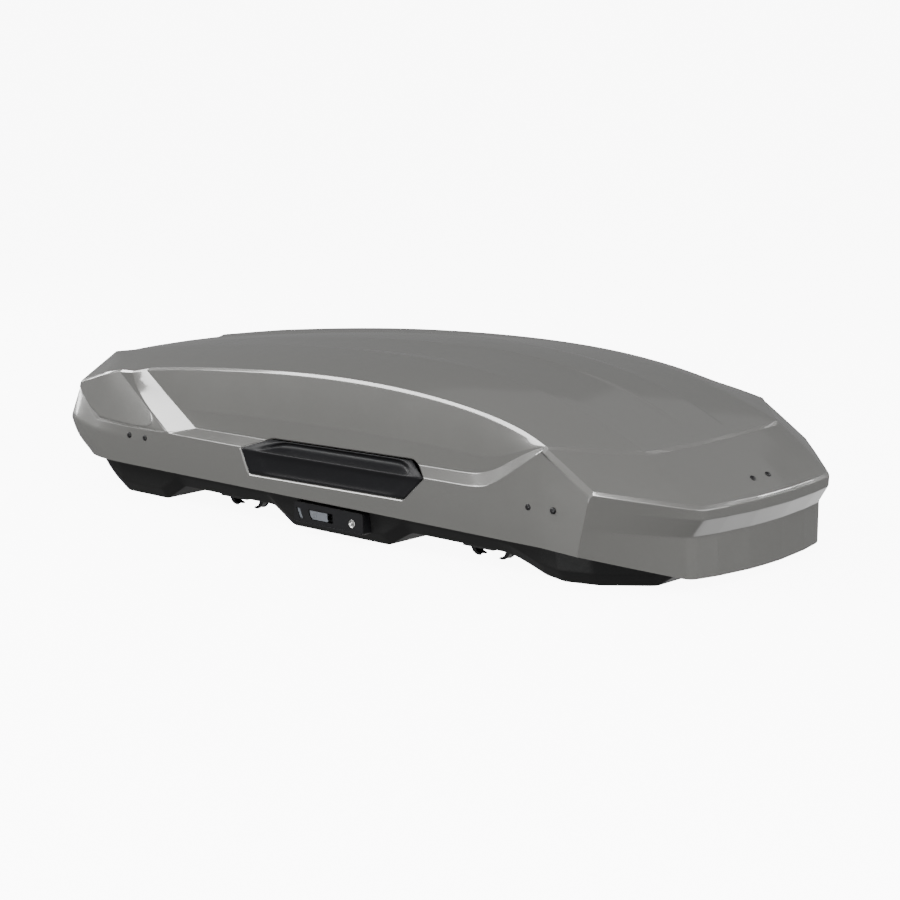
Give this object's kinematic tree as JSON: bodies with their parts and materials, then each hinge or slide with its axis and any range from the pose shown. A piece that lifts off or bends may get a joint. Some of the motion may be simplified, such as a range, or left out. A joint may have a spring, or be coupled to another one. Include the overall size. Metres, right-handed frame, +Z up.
{
  "type": "roof cargo box",
  "caption": "Aerodynamic rooftop luggage box whose lid opens from either side, with side grips, a sliding lock on each side, lid stays and claw clamps for crossbars.",
  "frame": {"origin": "under the middle of the box, level with the bottoms of the moulded pods", "axes": "+X towards the nose, -Y towards the first lock side, +Z up"},
  "size_m": [2.152, 0.913, 0.485],
  "materials": {
    "lid_paint": "gloss metallic grey coating on a moulded shell",
    "tray_plastic": "grained black",
    "grip_plastic": "satin black",
    "black_plastic": "fine grained black",
    "knob_plastic": "grained dark grey",
    "jaw_plastic": "glass filled black",
    "grey_plastic": "smooth blue grey",
    "plated_metal": "satin nickel plate",
    "rivet_metal": "dark coated",
    "pad_rubber": "matt",
    "stiffener_aluminium": "mill finish",
    "zinc_steel": "zinc plated"
  },
  "bodies": {
    "base": {"base_hinge_pins_far": "zinc_steel", "base_hinge_pins_near": "zinc_steel", "base_tray": "tray_plastic", "crossbar_pads": "pad_rubber", "floor_rails_far": "zinc_steel", "floor_rails_near": "zinc_steel", "latch_guides_far": "zinc_steel", "latch_guides_near": "zinc_steel", "lock_housing_far": "black_plastic", "lock_housing_near": "black_plastic", "near_stay_guides": "zinc_steel", "strap_anchors": "zinc_steel"},
    "near_rail": {"hinge_rail_near": "zinc_steel", "stay_pivots_near": "zinc_steel", "far_stay_guides": "zinc_steel"},
    "lid": {"lid_shell": "lid_paint", "lid_stiffeners": "stiffener_aluminium", "lid_rivets": "rivet_metal", "side_grip_near": "grip_plastic", "side_grip_far": "grip_plastic", "lid_hinge_pins_near": "zinc_steel", "lid_hinge_pins_far": "zinc_steel", "hinge_rail_far": "zinc_steel", "stay_pivots_far": "zinc_steel"},
    "near_stay_front": {"near_stay_front": "zinc_steel"},
    "near_stay_rear": {"near_stay_rear": "zinc_steel"},
    "far_stay_front": {"far_stay_front": "zinc_steel"},
    "far_stay_rear": {"far_stay_rear": "zinc_steel"},
    "latch_near": {"lock_slider_near": "grey_plastic", "latch_bar_near": "zinc_steel", "lock_indicator_near": "grey_plastic"},
    "key_near": {"key_cylinder_near": "plated_metal"},
    "latch_far": {"lock_slider_far": "grey_plastic", "latch_bar_far": "zinc_steel", "lock_indicator_far": "grey_plastic"},
    "key_far": {"key_cylinder_far": "plated_metal"},
    "clamp_rear_near": {"clamp_body_rear_near": "black_plastic"},
    "knob_rear_near": {"clamp_knob_rear_near": "knob_plastic"},
    "jaw_front_rear_near": {"jaw_front_rear_near": "jaw_plastic"},
    "jaw_rear_rear_near": {"jaw_rear_rear_near": "jaw_plastic"},
    "clamp_front_near": {"clamp_body_front_near": "black_plastic"},
    "knob_front_near": {"clamp_knob_front_near": "knob_plastic"},
    "jaw_front_front_near": {"jaw_front_front_near": "jaw_plastic"},
    "jaw_rear_front_near": {"jaw_rear_front_near": "jaw_plastic"},
    "clamp_rear_far": {"clamp_body_rear_far": "black_plastic"},
    "knob_rear_far": {"clamp_knob_rear_far": "knob_plastic"},
    "jaw_front_rear_far": {"jaw_front_rear_far": "jaw_plastic"},
    "jaw_rear_rear_far": {"jaw_rear_rear_far": "jaw_plastic"},
    "clamp_front_far": {"clamp_body_front_far": "black_plastic"},
    "knob_front_far": {"clamp_knob_front_far": "knob_plastic"},
    "jaw_front_front_far": {"jaw_front_front_far": "jaw_plastic"},
    "jaw_rear_front_far": {"jaw_rear_front_far": "jaw_plastic"}
  },
  "joints": [
    {"name": "open_near_side", "type": "hinge", "parent": "base", "child": "near_rail", "pos_m": [0, 0.436, 0.112], "axis": [-1, 0, 0], "range_deg": [0, 50]},
    {"name": "open_far_side", "type": "hinge", "parent": "near_rail", "child": "lid", "pos_m": [0, -0.436, 0.112], "axis": [1, 0, 0], "range_deg": [0, 50]},
    {"name": "near_stay_front_swing", "type": "hinge", "parent": "near_rail", "child": "near_stay_front", "pos_m": [0, -0.416, 0.134], "axis": [-1, 0, 0], "range_deg": [0, 5]},
    {"name": "near_stay_rear_swing", "type": "hinge", "parent": "near_rail", "child": "near_stay_rear", "pos_m": [0, -0.416, 0.134], "axis": [-1, 0, 0], "range_deg": [0, 5]},
    {"name": "far_stay_front_swing", "type": "hinge", "parent": "lid", "child": "far_stay_front", "pos_m": [0, 0.416, 0.134], "axis": [1, 0, 0], "range_deg": [0, 5]},
    {"name": "far_stay_rear_swing", "type": "hinge", "parent": "lid", "child": "far_stay_rear", "pos_m": [0, 0.416, 0.134], "axis": [1, 0, 0], "range_deg": [0, 5]},
    {"name": "lock_slide_near", "type": "slide", "parent": "base", "child": "latch_near", "axis": [1, 0, 0], "range_m": [0, 0.016]},
    {"name": "key_turn_near", "type": "hinge", "parent": "base", "child": "key_near", "pos_m": [0.089, -0.442, 0.053], "axis": [0, -1, 0], "range_deg": [0, 90]},
    {"name": "lock_slide_far", "type": "slide", "parent": "base", "child": "latch_far", "axis": [1, 0, 0], "range_m": [0, 0.016]},
    {"name": "key_turn_far", "type": "hinge", "parent": "base", "child": "key_far", "pos_m": [0.089, 0.442, 0.053], "axis": [0, 1, 0], "range_deg": [0, 90]},
    {"name": "clamp_slide_rear_near", "type": "slide", "parent": "base", "child": "clamp_rear_near", "axis": [1, 0, 0], "range_m": [-0.03, 0.03]},
    {"name": "knob_turn_rear_near", "type": "hinge", "parent": "clamp_rear_near", "child": "knob_rear_near", "pos_m": [-0.415, -0.318, 0.107], "axis": [0, 0, 1], "range_deg": [0, 720]},
    {"name": "jaw_front_open_rear_near", "type": "hinge", "parent": "clamp_rear_near", "child": "jaw_front_rear_near", "pos_m": [-0.361, -0.318, 0.07], "axis": [0, -1, 0], "range_deg": [0, 45]},
    {"name": "jaw_rear_open_rear_near", "type": "hinge", "parent": "clamp_rear_near", "child": "jaw_rear_rear_near", "pos_m": [-0.469, -0.318, 0.07], "axis": [0, 1, 0], "range_deg": [0, 45]},
    {"name": "clamp_slide_front_near", "type": "slide", "parent": "base", "child": "clamp_front_near", "axis": [1, 0, 0], "range_m": [-0.03, 0.03]},
    {"name": "knob_turn_front_near", "type": "hinge", "parent": "clamp_front_near", "child": "knob_front_near", "pos_m": [0.46, -0.318, 0.107], "axis": [0, 0, 1], "range_deg": [0, 720]},
    {"name": "jaw_front_open_front_near", "type": "hinge", "parent": "clamp_front_near", "child": "jaw_front_front_near", "pos_m": [0.514, -0.318, 0.07], "axis": [0, -1, 0], "range_deg": [0, 45]},
    {"name": "jaw_rear_open_front_near", "type": "hinge", "parent": "clamp_front_near", "child": "jaw_rear_front_near", "pos_m": [0.406, -0.318, 0.07], "axis": [0, 1, 0], "range_deg": [0, 45]},
    {"name": "clamp_slide_rear_far", "type": "slide", "parent": "base", "child": "clamp_rear_far", "axis": [1, 0, 0], "range_m": [-0.03, 0.03]},
    {"name": "knob_turn_rear_far", "type": "hinge", "parent": "clamp_rear_far", "child": "knob_rear_far", "pos_m": [-0.415, 0.318, 0.107], "axis": [0, 0, 1], "range_deg": [0, 720]},
    {"name": "jaw_front_open_rear_far", "type": "hinge", "parent": "clamp_rear_far", "child": "jaw_front_rear_far", "pos_m": [-0.361, 0.318, 0.07], "axis": [0, -1, 0], "range_deg": [0, 45]},
    {"name": "jaw_rear_open_rear_far", "type": "hinge", "parent": "clamp_rear_far", "child": "jaw_rear_rear_far", "pos_m": [-0.469, 0.318, 0.07], "axis": [0, 1, 0], "range_deg": [0, 45]},
    {"name": "clamp_slide_front_far", "type": "slide", "parent": "base", "child": "clamp_front_far", "axis": [1, 0, 0], "range_m": [-0.03, 0.03]},
    {"name": "knob_turn_front_far", "type": "hinge", "parent": "clamp_front_far", "child": "knob_front_far", "pos_m": [0.46, 0.318, 0.107], "axis": [0, 0, 1], "range_deg": [0, 720]},
    {"name": "jaw_front_open_front_far", "type": "hinge", "parent": "clamp_front_far", "child": "jaw_front_front_far", "pos_m": [0.514, 0.318, 0.07], "axis": [0, -1, 0], "range_deg": [0, 45]},
    {"name": "jaw_rear_open_front_far", "type": "hinge", "parent": "clamp_front_far", "child": "jaw_rear_front_far", "pos_m": [0.406, 0.318, 0.07], "axis": [0, 1, 0], "range_deg": [0, 45]}
  ],
  "couplings": [
    {"joint": "near_stay_front_swing", "follows": "open_near_side", "ratio": 0.1},
    {"joint": "near_stay_rear_swing", "follows": "open_near_side", "ratio": 0.1},
    {"joint": "far_stay_front_swing", "follows": "open_far_side", "ratio": 0.1},
    {"joint": "far_stay_rear_swing", "follows": "open_far_side", "ratio": 0.1},
    {"joint": "jaw_front_open_rear_near", "follows": "knob_turn_rear_near", "ratio": 0.0625},
    {"joint": "jaw_rear_open_rear_near", "follows": "knob_turn_rear_near", "ratio": 0.0625},
    {"joint": "jaw_front_open_front_near", "follows": "knob_turn_front_near", "ratio": 0.0625},
    {"joint": "jaw_rear_open_front_near", "follows": "knob_turn_front_near", "ratio": 0.0625},
    {"joint": "jaw_front_open_rear_far", "follows": "knob_turn_rear_far", "ratio": 0.0625},
    {"joint": "jaw_rear_open_rear_far", "follows": "knob_turn_rear_far", "ratio": 0.0625},
    {"joint": "jaw_front_open_front_far", "follows": "knob_turn_front_far", "ratio": 0.0625},
    {"joint": "jaw_rear_open_front_far", "follows": "knob_turn_front_far", "ratio": 0.0625}
  ]
}
